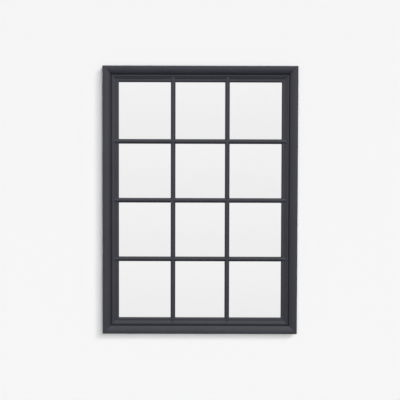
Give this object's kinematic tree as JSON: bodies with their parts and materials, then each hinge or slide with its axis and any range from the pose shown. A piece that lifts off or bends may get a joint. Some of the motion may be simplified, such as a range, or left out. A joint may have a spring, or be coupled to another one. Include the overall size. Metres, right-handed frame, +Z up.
{
  "type": "window mirror",
  "caption": "Tall wall mirror made like a window: a mitred moulded frame with a moulded sash inside it, and crossing glazing bars over separate mirror panes.",
  "frame": {"origin": "centre of the mirror, on the wall plane that the two bumpers touch", "axes": "+Z up, +X to the viewer's right, the mirror faces -Y and the wall lies at y = 0 towards +Y"},
  "size_m": [0.8, 0.037, 1.1],
  "materials": {
    "painted_wood": "satin",
    "silvered_glass": "polished",
    "hardboard": "matte",
    "zinc_plated_steel": "zinc plated",
    "black_rubber": "matte"
  },
  "bodies": {
    "mirror": {"casing_bottom": "painted_wood", "casing_right": "painted_wood", "casing_top": "painted_wood", "casing_left": "painted_wood", "sash_bottom": "painted_wood", "sash_right": "painted_wood", "sash_top": "painted_wood", "sash_left": "painted_wood", "vertical_bar_1": "painted_wood", "vertical_bar_2": "painted_wood", "horizontal_bar_1": "painted_wood", "horizontal_bar_2": "painted_wood", "horizontal_bar_3": "painted_wood", "pane_1_1": "silvered_glass", "pane_1_2": "silvered_glass", "pane_1_3": "silvered_glass", "pane_2_1": "silvered_glass", "pane_2_2": "silvered_glass", "pane_2_3": "silvered_glass", "pane_3_1": "silvered_glass", "pane_3_2": "silvered_glass", "pane_3_3": "silvered_glass", "pane_4_1": "silvered_glass", "pane_4_2": "silvered_glass", "pane_4_3": "silvered_glass", "backing_board": "hardboard", "bumper_left": "black_rubber", "bumper_right": "black_rubber", "board_screws": "zinc_plated_steel", "corner_nails": "zinc_plated_steel", "hanger_strap_left": "zinc_plated_steel", "hanger_strap_right": "zinc_plated_steel", "hanger_screws": "zinc_plated_steel"},
    "left_ring": {"hanger_ring_left": "zinc_plated_steel"},
    "right_ring": {"hanger_ring_right": "zinc_plated_steel"}
  },
  "joints": [
    {"name": "left_ring_swing", "type": "hinge", "parent": "mirror", "child": "left_ring", "pos_m": [-0.388, -0.0025, 0.34], "axis": [1, 0, 0], "range_deg": [0, 180]},
    {"name": "right_ring_swing", "type": "hinge", "parent": "mirror", "child": "right_ring", "pos_m": [0.388, -0.0025, 0.34], "axis": [1, 0, 0], "range_deg": [0, 180]}
  ]
}
